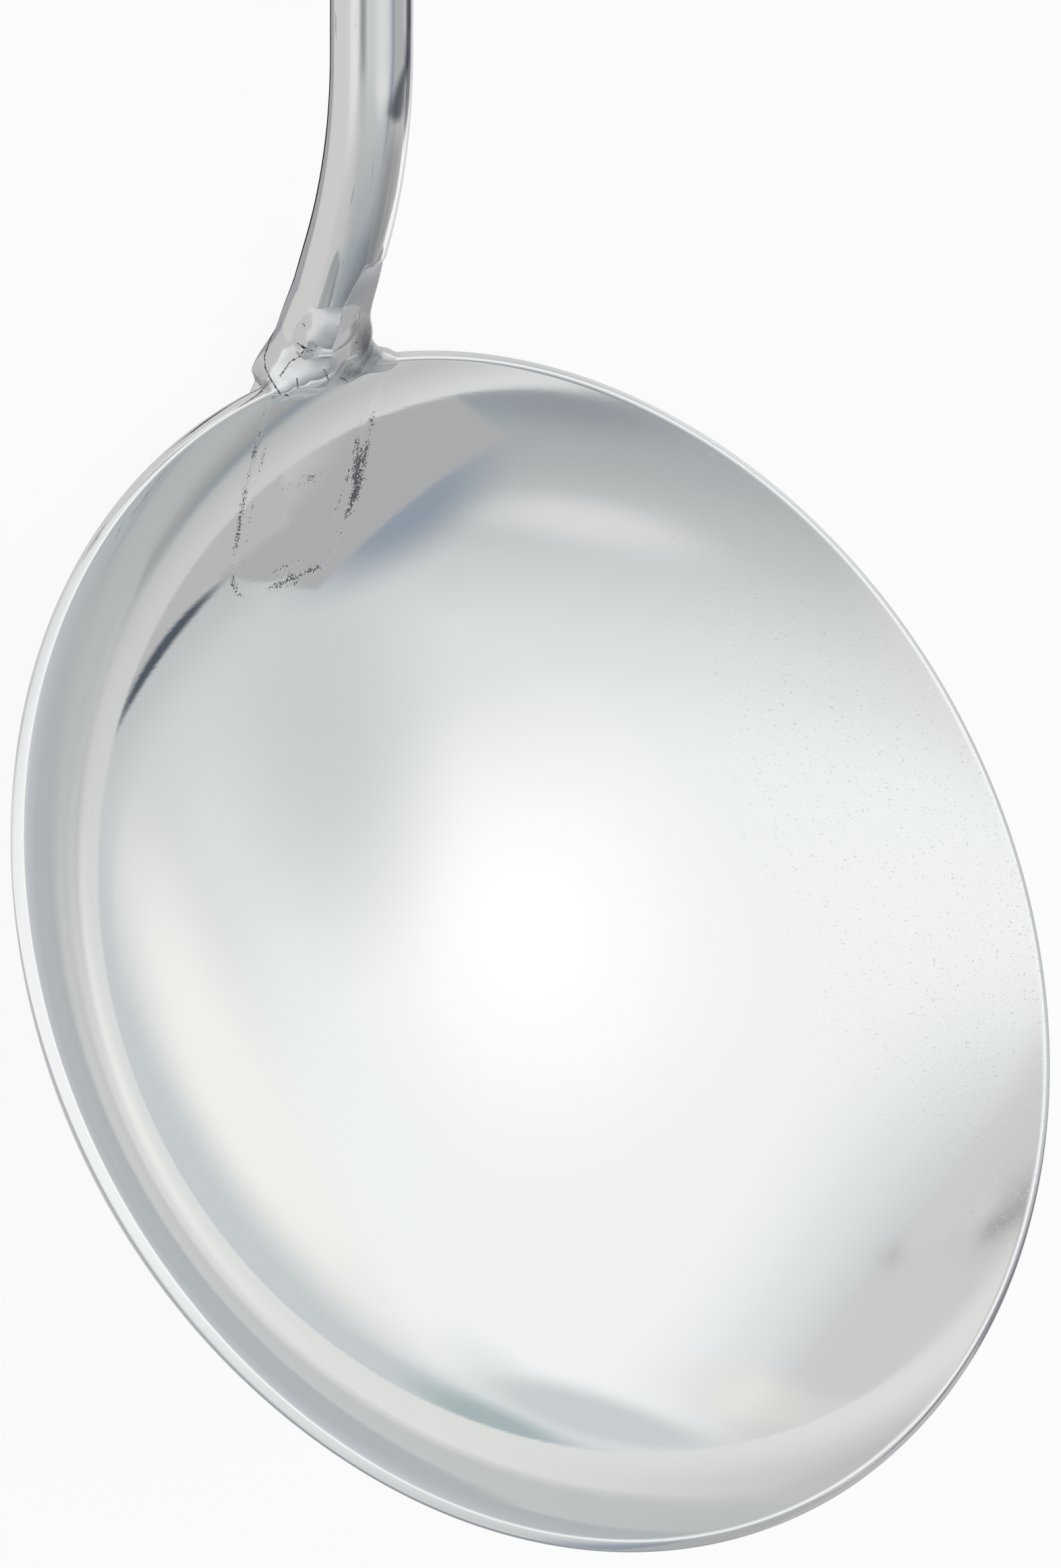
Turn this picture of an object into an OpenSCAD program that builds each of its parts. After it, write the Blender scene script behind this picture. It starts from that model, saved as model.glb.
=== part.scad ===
// Wok ladle of polished stainless steel, lying on a table as it comes to rest:
// on the forged tongue under its bowl and on the round end of its grip.
// Everything is drawn in the bowl's own frame (rim level, handle along +X), and
// at_rest() then leans the whole ladle over onto the table, which is z = 0.
// Units: millimetres and degrees.

/* [Bowl] */
// Outside diameter of the bowl at its rim
bowl_d = 120; // [104:1:140]
// Thickness of the bowl's sheet
bowl_sheet = 1.3; // [1:0.1:1.8]
// Inner radius of the steep outer wall, in section
wall_r = 40; // [34:1:46]
// Inner radius of the shallow dish in the middle, in section
dish_r = 110; // [95:1:140]
// Slope of the wall where it ends at the rim
rim_slope = 60; // [57:1:66]
// Rounding of the polished rim edge
rim_round = 0.45; // [0.3:0.05:0.5]

/* [Forged tongue] */
// Width of the flattened end of the rod, seated under the bowl
tongue_w = 13; // [11:0.5:18]
// Thickness of the flattened end
tongue_t = 2.5; // [2:0.25:4.5]
// Length of the flattened end down the wall, from the rim
tongue_run = 24; // [18:1:28]
// Radius of the two corners at the tip of the tongue
tongue_corner = 5.5; // [3:0.25:5.5]
// Length over which the round rod is forged flat, above the rim
forge_run = 6; // [5:0.5:16]

/* [Handle rod] */
// Diameter of the solid rod
rod_d = 8; // [7:0.5:10]
// How far the rod's axis passes outside the bowl's outer face at the rim
root_offset = 0.7; // [0.2:0.1:1.5]
// Lean of the rod against the rim plane where it is welded on
root_angle = 54.5; // [50:0.5:58]
// Straight round rod between the forged neck and the bend
root_run = 8; // [2:1:18]
// Radius of the bend, at the rod's axis
bend_r = 58; // [40:1:80]
// Lean of the straight handle against the rim plane
handle_angle = 34; // [30:0.5:36]
// Straight rod that shows between the bend and the grip
neck_run = 164; // [120:1:220]

/* [Grip] */
// Outside diameter of the hollow grip
grip_d = 20; // [16:0.5:24]
// Wall of the grip tube and of its end cap
grip_wall = 1; // [0.8:0.1:1.5]
// Length of the cylindrical part of the grip
grip_run = 116; // [90:1:140]
// Length of the swaged nose that closes on the rod
nose_run = 16; // [10:1:22]
// Length of the straight collar at the front of the nose
collar_run = 3; // [2:0.5:5]
// Gap all round between pieces that slide together before they are joined
fit_gap = 0.02; // [0.01:0.01:0.1]
// How far the rod reaches into the grip, past its nose
rod_engage = 22; // [12:1:40]
// Length of the cap's spigot inside the tube
spigot_run = 5; // [3:0.5:7]
// Diameter of the hanging hole drilled through both walls of the grip
hang_hole_d = 6; // [4:0.5:8]
// Distance from the hanging hole to the seam of the end cap
hang_hole_inset = 12; // [12:0.5:20]

/* [Weld] */
// Height of the weld bead over the rim
bead_rise = 2.6; // [2:0.1:3.2]
// Width of the fillet weld along the edges of the tongue
fillet_leg = 1.8; // [1:0.1:2.4]
// Height of that fillet weld off the bowl's wall
fillet_rise = 1.2; // [0.8:0.1:1.8]

/* [Hidden] */
$fn = 96;
hull_fn = 32;
far = 400;          // longer than any piece, for cutting wedges
lap = 0.05;         // how far shapes of one piece run into each other where they join
hair = 0.03;        // step between two round lengths that run into each other
slab = 0.5;         // thickness of the slices that a blend runs between
forge_inset = 0.1;  // how much the blend stands back from the tongue's faces

rod_r = rod_d / 2;
grip_r = grip_d / 2;

// Centre of the wall's arc, set by the rim: the bowl's widest point is bowl_d across and its top is z = 0
wall_x = bowl_d / 2 - rim_round - (wall_r + bowl_sheet - rim_round) * sin(rim_slope);
wall_z = (wall_r + rim_round) * cos(rim_slope) - rim_round;
// The dish is tangent to the wall, at this slope
dish_slope = asin(wall_x / (dish_r - wall_r));
dish_z = wall_z + (dish_r - wall_r) * cos(dish_slope);
wall_out = wall_r + bowl_sheet;
dish_out = dish_r + bowl_sheet;

// Slope at which a line from the centre of the wall's arc just clears the rounded lip
lip_slope = rim_slope + asin(rim_round / wall_r);

// Slope of the wall at the tip of the tongue
tip_slope = rim_slope - tongue_run / wall_out * 180 / PI;

// The rod's axis in the plane y = 0: straight from the root, one bend, straight to the grip
function on_wall(q, a) = [wall_x + q * sin(a), wall_z - q * cos(a)];
function along(p, a, s) = [p[0] + s * cos(a), p[1] + s * sin(a)];
root = on_wall(wall_out + root_offset, rim_slope);
bend_start = along(root, root_angle, forge_run + root_run);
bend_centre = along(bend_start, root_angle - 90, bend_r);
bend_end = along(bend_centre, handle_angle + 90, bend_r);
grip_start = along(bend_end, handle_angle, neck_run);
shoulder = along(grip_start, handle_angle, nose_run);
grip_end = along(shoulder, handle_angle, grip_run);

// Lean that brings a ball of radius r at point p down to the table, with the tongue's outer face on it too
foot_r = wall_out + tongue_t;
function lean(p, r) =
    let (d = [p[0] - wall_x, p[1] - wall_z])
    atan2(d[1], d[0]) - asin((r - foot_r) / norm(d));
rest_lean = min(lean(grip_end, grip_r), lean(shoulder, grip_r));
// Reach of the bowl's back and of the grip's end along the table, from the centre of the wall's arc
function level_x(p) = (p[0] - wall_x) * cos(rest_lean) + (p[1] - wall_z) * sin(rest_lean);
back_x = 90 - rest_lean < rim_slope
    ? level_x([-wall_x, wall_z]) - wall_out
    : level_x([-wall_x - (wall_out - rim_round) * sin(rim_slope),
               wall_z - (wall_out - rim_round) * cos(rim_slope)]) - rim_round;
front_x = level_x(grip_end) + grip_r;

// Lays the ladle on the table, with the origin under the middle of its bounding box
module at_rest() {
    translate([-(back_x + front_x) / 2, 0, foot_r])
        rotate([0, rest_lean, 0])
            translate([-wall_x, 0, -wall_z])
                children();
}

// Puts a shape that is drawn up its own z axis onto the rod's axis at point p
module on_axis(p, a) {
    translate([p[0], 0, p[1]]) rotate([0, 90 - a, 0]) children();
}

// Part of the plane between two slopes, seen from the centre of an arc
module slope_wedge(a, b) {
    polygon([[0, 0], [far * sin(a), -far * cos(a)], [far * sin(b), -far * cos(b)]]);
}

// Band between two radii of one arc of the bowl's section
module arc_band(inner, outer, a, b) {
    intersection() {
        difference() {
            circle(r = outer);
            circle(r = inner);
        }
        slope_wedge(a, b);
    }
}

// Half section of the bowl, in x and z, with its rounded rim edge
module bowl_section() {
    translate([0, dish_z]) arc_band(dish_r, dish_out, 0, dish_slope);
    translate([wall_x, wall_z]) {
        arc_band(wall_r, wall_out, dish_slope, rim_slope);
        rotate(rim_slope - 90) {
            for (q = [wall_r + rim_round, wall_out - rim_round])
                translate([q, 0]) circle(r = rim_round, $fn = 48);
            translate([wall_r + rim_round, -lap])
                square([bowl_sheet - 2 * rim_round, rim_round + lap]);
        }
    }
}

module bowl_solid() {
    rotate_extrude() bowl_section();
}

// Everything inside the bowl's outer face grown by some thickness, up to the plane of the lip.
// No part of the handle may enter it, ungrown. The wall's part runs on under the dish, so that the two join.
module bowl_envelope(grow = 0) {
    rotate_extrude() {
        translate([0, dish_z]) arc_band(dish_r / 2, dish_out + grow, 0, dish_slope);
        translate([wall_x, wall_z]) arc_band(0, wall_out + grow, 0, lip_slope);
    }
}

module bowl() {
    color("gainsboro") at_rest() bowl_solid();
}

// Outline of the tongue seen square to the wall: straight sides, two round corners at the tip
module tongue_outline(grow, up) {
    r = tongue_corner + grow;
    half = tongue_w / 2 + grow;
    run = tongue_chord + grow;
    translate([-half, -up]) square([2 * half, run - r + up]);
    for (s = [-1, 1]) translate([s * (half - r), run - r]) circle(r = r);
    translate([-(half - r), 0]) square([2 * (half - r), run]);
}

// The tongue's tip lies this far from the rim in a straight line
tongue_chord = norm(on_wall(wall_out, rim_slope) - on_wall(wall_out, tip_slope));
tongue_lean = (rim_slope + tip_slope) / 2;

// Cuts the outline of the tongue through the bowl's wall, square to it
module through_wall(grow, up) {
    p = on_wall(wall_out, rim_slope);
    translate([p[0], 0, p[1]])
        rotate([0, 90 - tongue_lean, 0])
            translate([-rod_d, 0, 0])
                rotate([90, 0, 90])
                    rotate(180)
                        linear_extrude(height = 2 * rod_d) tongue_outline(grow, up);
}

// Layer of metal lying on the outside of the wall and the dish
module wall_layer(thickness) {
    difference() {
        bowl_envelope(thickness);
        bowl_envelope();
    }
}

// The tongue before the bowl's outer face is hollowed out of it
module tongue_blank() {
    intersection() {
        bowl_envelope(tongue_t);
        through_wall(0, rod_d);
    }
}

// The rod's end between the tongue and the round rod, forged flatter and wider towards the rim
module forged_neck() {
    edge_r = tongue_t / 2 - forge_inset;
    low = along(on_wall(wall_out + tongue_t / 2, rim_slope), rim_slope, -2 * slab);
    hull() {
        on_axis(along(root, root_angle, forge_run), root_angle)
            cylinder(h = slab, r = rod_r, $fn = hull_fn);
        on_axis(along(root, root_angle, forge_run / 2), root_angle)
            cylinder(h = slab, r = rod_r - forge_inset, $fn = hull_fn);
        for (s = [-1, 1])
            translate([low[0], s * (tongue_w / 2 - tongue_t / 2), low[1]])
                rotate([0, 90 - rim_slope, 0])
                    cylinder(h = slab, r = edge_r, $fn = hull_fn);
    }
}

// Straight rod from point p, run into its neighbours at both ends and a hair slimmer than the bend
module straight_rod(p, a, length) {
    on_axis(along(p, a, -lap), a) cylinder(h = length + 2 * lap, r = rod_r - hair);
}

module rod_bend() {
    turn = root_angle - handle_angle;
    translate([bend_centre[0], 0, bend_centre[1]])
        rotate([90, 0, 0])
            rotate(handle_angle + 90)
                rotate_extrude(angle = turn) translate([bend_r, 0]) circle(r = rod_r);
}

module rod_solid() {
    straight_rod(along(root, root_angle, forge_run), root_angle, root_run);
    rod_bend();
    straight_rod(bend_end, handle_angle, neck_run + nose_run + rod_engage);
}

// Round rod, forged neck and tongue as one piece, with the bowl's outer face as its seat
module handle_solid() {
    difference() {
        union() {
            rod_solid();
            forged_neck();
            tongue_blank();
        }
        bowl_envelope();
    }
}

module handle_rod() {
    color("silver") at_rest() handle_solid();
}

// Puddles that the rim weld is blended from:
// [place across the tongue, height up the rod, size], as shares of tongue_w, bead_rise and bead_rise
bead_puddles = [[-0.5, 0, 0.7], [-0.16, 1.5, 0.9], [0.12, 1.9, 0.95], [0.42, 0.3, 0.7], [0.02, 0.2, 1]];

// One run of weld metal over the rim, filling the step between the rim and the front of the rod
module rim_weld() {
    color("lightslategray") at_rest()
        difference() {
            hull()
                for (b = bead_puddles) {
                    p = along([bowl_d / 2 - bowl_sheet, 0], root_angle, b[1] * bead_rise);
                    translate([p[0], b[0] * tongue_w, p[1]]) sphere(r = b[2] * bead_rise, $fn = 24);
                }
            bowl_solid();
            forged_neck();
            straight_rod(along(root, root_angle, forge_run), root_angle, root_run);
            tongue_blank();
        }
}

// Fillet weld round the edges of the tongue, on the outside of the bowl, dressed flat
module tongue_weld() {
    color("darkgray") at_rest()
        difference() {
            intersection() {
                wall_layer(fillet_rise);
                through_wall(fillet_leg, -fillet_leg);
            }
            tongue_blank();
        }
}

module grip_section() {
    bore = grip_r - grip_wall;
    mouth = rod_r + fit_gap;
    polygon([
        [mouth, 0], [mouth + grip_wall, 0], [mouth + grip_wall, collar_run],
        [grip_r, nose_run], [grip_r, nose_run + grip_run],
        [bore, nose_run + grip_run], [bore, nose_run + grip_wall],
        [mouth, collar_run + grip_wall],
    ]);
}

module grip_tube() {
    color("gainsboro") at_rest()
        on_axis(grip_start, handle_angle)
            difference() {
                rotate_extrude() grip_section();
                translate([0, 0, nose_run + grip_run - hang_hole_inset])
                    rotate([0, 90, 0])
                        cylinder(h = 2 * grip_d, r = hang_hole_d / 2, center = true);
            }
}

// Pressed dome that closes the grip, with a spigot that fits inside the tube
module grip_cap() {
    bore = grip_r - grip_wall;
    color("silver") at_rest()
        on_axis(grip_end, handle_angle)
            rotate_extrude() {
                intersection() {
                    difference() {
                        circle(r = grip_r);
                        circle(r = bore);
                    }
                    square(grip_d);
                }
                translate([bore - fit_gap - grip_wall, -spigot_run])
                    square([grip_wall, spigot_run + 2 * grip_wall]);
            }
}

bowl();
handle_rod();
rim_weld();
tongue_weld();
grip_tube();
grip_cap();
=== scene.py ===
import math

import bpy
import numpy as np
from mathutils import Matrix, Vector


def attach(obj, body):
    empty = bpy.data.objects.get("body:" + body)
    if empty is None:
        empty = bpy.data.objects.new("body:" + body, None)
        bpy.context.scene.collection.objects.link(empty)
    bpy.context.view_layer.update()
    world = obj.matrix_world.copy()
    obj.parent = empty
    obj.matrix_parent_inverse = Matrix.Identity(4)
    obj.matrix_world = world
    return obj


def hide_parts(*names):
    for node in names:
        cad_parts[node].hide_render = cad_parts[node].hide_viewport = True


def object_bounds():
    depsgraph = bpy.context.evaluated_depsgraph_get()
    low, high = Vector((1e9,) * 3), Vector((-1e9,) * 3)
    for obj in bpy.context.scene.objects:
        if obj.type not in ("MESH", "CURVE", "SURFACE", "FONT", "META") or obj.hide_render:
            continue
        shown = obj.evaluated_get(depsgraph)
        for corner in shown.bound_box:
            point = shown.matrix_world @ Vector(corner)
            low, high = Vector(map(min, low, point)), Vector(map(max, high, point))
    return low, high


# Wok ladle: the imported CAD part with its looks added. The part's shapes are worked out in millimetres in the
# bowl's own frame (rim level, handle along +X) and laid on the table in metres by onTable().

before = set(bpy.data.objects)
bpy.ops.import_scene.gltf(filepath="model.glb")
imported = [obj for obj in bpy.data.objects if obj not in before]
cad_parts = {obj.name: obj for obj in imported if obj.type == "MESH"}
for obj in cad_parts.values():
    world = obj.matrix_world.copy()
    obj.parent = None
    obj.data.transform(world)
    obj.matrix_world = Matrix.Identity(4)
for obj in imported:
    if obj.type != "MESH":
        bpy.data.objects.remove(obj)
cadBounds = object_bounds()
scene = bpy.context.scene
mm = 0.001


def hexColour(code):
    # sRGB hex to the linear values that shaders work in
    parts = [int(code[i:i + 2], 16) / 255 for i in (1, 3, 5)]
    return tuple(c / 12.92 if c <= 0.04045 else ((c + 0.055) / 1.055) ** 2.4 for c in parts) + (1.0,)


def addNode(tree, kind, inputs=(), **settings):
    # one node with its settings; inputs by place or by name, each a value, a socket, or a node's first output
    node = tree.nodes.new("ShaderNode" + kind)
    for name, value in settings.items():
        setattr(node, name, value)
    for key, value in inputs.items() if isinstance(inputs, dict) else enumerate(inputs):
        if isinstance(value, bpy.types.Node):
            value = value.outputs[0]
        if isinstance(value, bpy.types.NodeSocket):
            tree.links.new(value, node.inputs[key])
        elif value is not None:
            node.inputs[key].default_value = value
    return node


# settings that many nodes share: a soft step, and the first input times the second plus the third
smoothly = {"interpolation_type": "SMOOTHSTEP"}
timesPlus = {"operation": "MULTIPLY_ADD"}

# Driving dimensions, the same as the CAD part's unless a note says that something is drawn otherwise

bowl = {
    "rimDiameter": 120.0,
    "sheet": 1.3,
    "wallRadius": 40.0,     # inner radius of the steep wall, in section
    "dishRadius": 110.0,    # inner radius of the shallow middle, in section
    "rimSlope": 60.0,
    "edgeRound": 0.45,
    "edgeShown": 0.3,       # the edge as it is drawn, a little flatter on top
    "turns": 448,           # points round the rim; a mirror needs many
    "dishRings": 30,
    "wallRings": 40,
    "cornerRings": 6,
}
rod = {
    "diameter": 8.0,
    "slimmer": 0.03,        # the CAD rod's straight lengths are this much slimmer in radius
    "rootOffset": 0.7,
    "rootAngle": 54.5,
    "rootRun": 8.0,
    "bendRadius": 58.0,
    "handleAngle": 34.0,
    "neckRun": 164.0,
    "engage": 22.0,
    "forgeRun": 6.0,
    "roundFor": 2.2,        # higher keeps the neck thick for longer before it flattens
    "squareAt": 3.0,        # how square its section gets at the rim, over a round one
    "flareRun": 9.0,        # its sides open out over this length, to the tongue's width at the rim
    "flareCurve": 1.15,
    "points": 144,          # points round the section
    "neckRings": 70,
    "bendRings": 48,
    "straightRings": 60,
}
tongue = {
    "width": 13.0,
    "rimWidth": 11.3,       # drawn this narrow at the rim, where the CAD tongue has its full width
    "widenRun": 9.0,
    "thick": 2.5,
    "run": 24.0,
    "corner": 5.5,
    "edge": 0.9,            # its tip rounds over in this run
    "square": 5,            # how square its section is
    "rings": 60,
}
grip = {
    "diameter": 20.0,
    "wall": 1.0,
    "run": 116.0,
    "nose": 16.0,
    "collar": 3.0,
    "gap": 0.02,
    "spigot": 5.0,
    "holeDiameter": 6.0,
    "holeInset": 12.0,
    "turns": 128,
    "tubeSharp": 32,        # edges that turn by more degrees than this stay sharp
    "capSharp": 40,
}

rimSlope = math.radians(bowl["rimSlope"])
edgeRound = bowl["edgeRound"]
wallOut = bowl["wallRadius"] + bowl["sheet"]
wallX = bowl["rimDiameter"] / 2 - edgeRound - (wallOut - edgeRound) * math.sin(rimSlope)
wallZ = (bowl["wallRadius"] + edgeRound) * math.cos(rimSlope) - edgeRound
dishSlope = math.asin(wallX / (bowl["dishRadius"] - bowl["wallRadius"]))
dishZ = wallZ + (bowl["dishRadius"] - bowl["wallRadius"]) * math.cos(dishSlope)
rootAngle = math.radians(rod["rootAngle"])
handleAngle = math.radians(rod["handleAngle"])
rodRadius = rod["diameter"] / 2
gripRadius = grip["diameter"] / 2


def onWall(q, slope):
    return np.array([wallX + q * math.sin(slope), wallZ - q * math.cos(slope)])


def along(p, angle, s):
    return p + s * np.array([math.cos(angle), math.sin(angle)])


root = onWall(wallOut + rod["rootOffset"], rimSlope)
bendStart = along(root, rootAngle, rod["forgeRun"] + rod["rootRun"])
bendCentre = along(bendStart, rootAngle - math.pi / 2, rod["bendRadius"])
bendEnd = along(bendCentre, handleAngle + math.pi / 2, rod["bendRadius"])
gripStart = along(bendEnd, handleAngle, rod["neckRun"])
shoulder = along(gripStart, handleAngle, grip["nose"])
gripEnd = along(shoulder, handleAngle, grip["run"])

# The lean that lays the tongue and the grip's end on the table
footRadius = wallOut + tongue["thick"]
toGrip = gripEnd - np.array([wallX, wallZ])
lean = math.atan2(toGrip[1], toGrip[0]) - math.asin((gripRadius - footRadius) / np.hypot(*toGrip))
frontX = toGrip[0] * math.cos(lean) + toGrip[1] * math.sin(lean) + gripRadius
shiftX = cadBounds[1][0] / mm - frontX


def onTable(points):
    p = np.asarray(points, float)
    a, b = p[..., 0] - wallX, p[..., 2] - wallZ
    x = a * math.cos(lean) + b * math.sin(lean) + shiftX
    z = -a * math.sin(lean) + b * math.cos(lean) + footRadius
    return np.stack([x, p[..., 1], z], -1) * mm


# Where the bowl frame's origin lands, for materials that are drawn in that frame
bowlOrigin = onTable([0, 0, 0])


def buildObject(name, points, faces, material, cadNode):
    mesh = bpy.data.meshes.new(name)
    mesh.from_pydata(onTable(points).tolist(), [], faces)
    mesh.shade_smooth()
    mesh.materials.append(material)
    piece = bpy.data.objects.new(name, mesh)
    scene.collection.objects.link(piece)
    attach(piece, "root")
    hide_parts(cadNode)
    print(name, len(mesh.vertices), "points", sum(len(f) - 2 for f in faces), "triangles")
    return piece


def joinRings(count, size, closed=False):
    # quads between rings of the same size; closed joins the last ring to the first
    faces = []
    for i in range(count if closed else count - 1):
        a, b = i * size, ((i + 1) % count) * size
        for j in range(size):
            k = (j + 1) % size
            faces.append((a + j, a + k, b + k, b + j))
    return faces


def revolve(profile, turns):
    # profile of (radius, height); a radius of zero becomes a pole
    angles = np.linspace(0, 2 * math.pi, turns, endpoint=False)
    points, faces, rings = [], [], []
    for radius, height in profile:
        start = len(points)
        if radius < 1e-9:
            points.append((0.0, 0.0, height))
            rings.append((start, 1))
        else:
            points += [(radius * math.cos(a), radius * math.sin(a), height) for a in angles]
            rings.append((start, turns))
    for (a, sizeA), (b, sizeB) in zip(rings, rings[1:]):
        for j in range(turns):
            k = (j + 1) % turns
            if sizeA == 1:
                faces.append((a, b + j, b + k))
            elif sizeB == 1:
                faces.append((a + k, a + j, b))
            else:
                faces.append((a + j, b + j, b + k, a + k))
    return np.array(points), faces


# Materials

# The renderer gives up light after a few bounces, where a steel would turn black. So the steels turn to this
# plain grey, by half at the second bounce and wholly at the third.
lateBounces = {"from": 1.0, "to": 3.0, "colour": "#cdd3d9"}


def grain(tree, place, size, detail=2.0):
    # noise with its own size of grain, in mm, along each axis of the bowl's frame
    stretched = addNode(tree, "VectorMath", [place, tuple(1 / k for k in size)], operation="MULTIPLY")
    return addNode(tree, "TexNoise", {"Vector": stretched, "Scale": 1.0, "Detail": detail})


def startSteel(name, look):
    # a steel and its tree, the place on the ladle in the bowl's frame in mm, and a height in mm from the
    # look's relief, which lists the size of grain along each axis, its detail and its depth
    material = bpy.data.materials.new(name)
    material.use_nodes = True
    tree = material.node_tree
    shader = tree.nodes["Principled BSDF"]
    shader.inputs["Metallic"].default_value = 1.0
    shader.inputs["Base Color"].default_value = hexColour(look["colour"])
    shader.inputs["Roughness"].default_value = look["roughness"]
    path = addNode(tree, "LightPath")
    late = addNode(tree, "MapRange", [path.outputs["Glossy Depth"], lateBounces["from"], lateBounces["to"]])
    grey = addNode(tree, "Emission", [hexColour(lateBounces["colour"]), 1.0])
    mixed = addNode(tree, "MixShader", [late, shader, grey])
    tree.links.new(mixed.outputs[0], tree.nodes["Material Output"].inputs["Surface"])
    coord = addNode(tree, "TexCoord")
    place = addNode(tree, "Mapping", [coord.outputs["Object"], tuple(bowlOrigin), (0, lean, 0), (mm, mm, mm)],
                    vector_type="TEXTURE")
    height = 0.0
    for size, detail, depth in look["relief"]:
        layer = grain(tree, place, size, detail)
        height = addNode(tree, "Math", [layer, depth, height], **timesPlus)
    return material, tree, shader, place, height


def finishSteel(tree, shader, look, height, tints=(), dull=None):
    # bump from the height; each tint is a share and a colour, laid over the look's own colour in turn
    bump = addNode(tree, "Bump", {"Height": height, "Distance": mm})
    tree.links.new(bump.outputs[0], shader.inputs["Normal"])
    colour = hexColour(look["colour"])
    for share, code in tints:
        colour = addNode(tree, "Mix", {0: share, 6: colour, 7: hexColour(code)}, data_type="RGBA").outputs[2]
    if tints:
        tree.links.new(colour, shader.inputs["Base Color"])
    if dull:
        tree.links.new(dull.outputs[0], shader.inputs["Roughness"])


# Mirror-polished sheet: reflections stay sharp but their borders fray along the belt's lines, which run
# across the ladle; the far wall is duller, and the tongue's weld shows through as two rough streaks and a
# cloudy patch
bowlLook = {
    "colour": "#e9e9e7",
    "darkColour": "#77787c",
    "roughness": 0.05,
    "dullWall": 0.15,                   # roughness of the far wall
    "dullFrom": (-8.0, -46.0),          # across the bowl
    # belt lines, drawn coarser than the real ones, and the slow waves of the sheet
    "relief": [((0.35, 9.0, 0.35), 3.0, 0.0016), ((14.0, 20.0, 14.0), 1.0, 0.02)],
    "speckGrain": 0.2,
    "speckDepth": 0.04,
    "speckLevel": (1.0, 1.16),
    "clumpGrain": 1.2,
    "clumpShare": 0.5,
    "rows": [(0.0, 0.8, 1.0), (1.5, 0.5, 0.75)],    # of specks: how far inside the outline, width, share
    "streakShare": 0.42,
    "streakShown": (0.08, 0.3),
    "dashGrain": (0.22, 1.8, 0.22),
    "dashLevel": (0.62, 0.76),
    "dashShare": 0.28,
    "dashFrom": (-34.0, -50.0),
    "darkRough": 0.25,
    "cloudRough": 0.1,
    "sunk": 0.012,                      # how far the sheet is drawn down over the tongue
    "sunkEdge": (-0.7, 0.3),
}
bowlSteel, tree, shader, place, height = startSteel("mirror-polished 18-8 stainless sheet", bowlLook)
axes = addNode(tree, "SeparateXYZ", [place])
outline, strength, patch = [addNode(tree, "Attribute", attribute_name=name).outputs["Fac"]
                            for name in ("imprint", "streak", "patch")]
# fine dark specks crowd along the outline, and a second finer row runs inside it
rows = []
for inset, width, share in bowlLook["rows"]:
    off = addNode(tree, "Math", [outline, inset], operation="ADD")
    off = addNode(tree, "Math", [off], operation="ABSOLUTE")
    rows.append(addNode(tree, "MapRange", [off, 0.0, width, share, 0.0], **smoothly))
streak = addNode(tree, "Math", rows, operation="MAXIMUM")
streak = addNode(tree, "Math", [streak, strength], operation="MULTIPLY")
streak = addNode(tree, "Math", [streak, patch], operation="MAXIMUM")
specks = grain(tree, place, (bowlLook["speckGrain"],) * 3, 1.0)
clumps = grain(tree, place, (bowlLook["clumpGrain"],) * 3, 1.0)
crowd = addNode(tree, "Math", [clumps, bowlLook["clumpShare"], specks], **timesPlus)
crowd = addNode(tree, "Math", [streak, bowlLook["streakShare"], crowd], **timesPlus)
rough = addNode(tree, "MapRange", [crowd, *bowlLook["speckLevel"]], **smoothly)
shown = addNode(tree, "MapRange", [streak, *bowlLook["streakShown"]], **smoothly)
rough = addNode(tree, "Math", [rough, shown], operation="MULTIPLY")
# short dashes that the belt left on the far wall
dashes = grain(tree, place, bowlLook["dashGrain"])
dashes = addNode(tree, "MapRange", [dashes, *bowlLook["dashLevel"], 0.0, bowlLook["dashShare"]], **smoothly)
farWall = addNode(tree, "MapRange", [axes.outputs["Y"], *bowlLook["dashFrom"]], **smoothly)
dashes = addNode(tree, "Math", [dashes, farWall], operation="MULTIPLY")
dark = addNode(tree, "Math", [rough, dashes], operation="ADD", use_clamp=True)
dull = addNode(tree, "MapRange", [axes.outputs["Y"], *bowlLook["dullFrom"], bowlLook["roughness"],
                                  bowlLook["dullWall"]], **smoothly)
dull = addNode(tree, "Math", [dark, bowlLook["darkRough"], dull], **timesPlus)
cloud = addNode(tree, "Math", [patch, bowlLook["cloudRough"], dull], **timesPlus)
inside = addNode(tree, "MapRange", [outline, *bowlLook["sunkEdge"], -bowlLook["sunk"], 0.0], **smoothly)
height = addNode(tree, "Math", [height, inside], operation="ADD")
height = addNode(tree, "Math", [dark, -bowlLook["speckDepth"], height], **timesPlus)
finishSteel(tree, shader, bowlLook, height, [(dark, bowlLook["darkColour"])], cloud)

# Polished round bar: drawn and buffed along its length, so that reflections run along it, with stray
# scratches, a smoky streak, painted reflections of dark things beside the handle, and a flat that was ground
# and left satin
rodLook = {
    "colour": "#e9e9e7",
    "darkColour": "#6e6c6a",
    "roughness": 0.07,
    "relief": [((9.0, 0.3, 9.0), 2.0, 0.0016), ((8.0, 5.0, 8.0), 1.0, 0.04)],
    "scratchGrain": (5.0, 0.16, 5.0),
    "scratchLevel": (0.7, 0.78),
    "scratchShare": 0.5,
    "scratchDepth": 0.02,
    # colour of the smoky streak and of the painted reflections on the bar
    "smokeAndReflectionColour": "#626a72",
    "groundColour": "#c6c7c9",
    "groundRough": 0.36,
}
rodSteel, tree, shader, place, height = startSteel("polished 18-8 stainless bar", rodLook)
scratch = grain(tree, place, rodLook["scratchGrain"])
scratch = addNode(tree, "MapRange", [scratch, *rodLook["scratchLevel"], 0.0, rodLook["scratchShare"]],
                  **smoothly)
height = addNode(tree, "Math", [scratch, -rodLook["scratchDepth"], height], **timesPlus)
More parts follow.
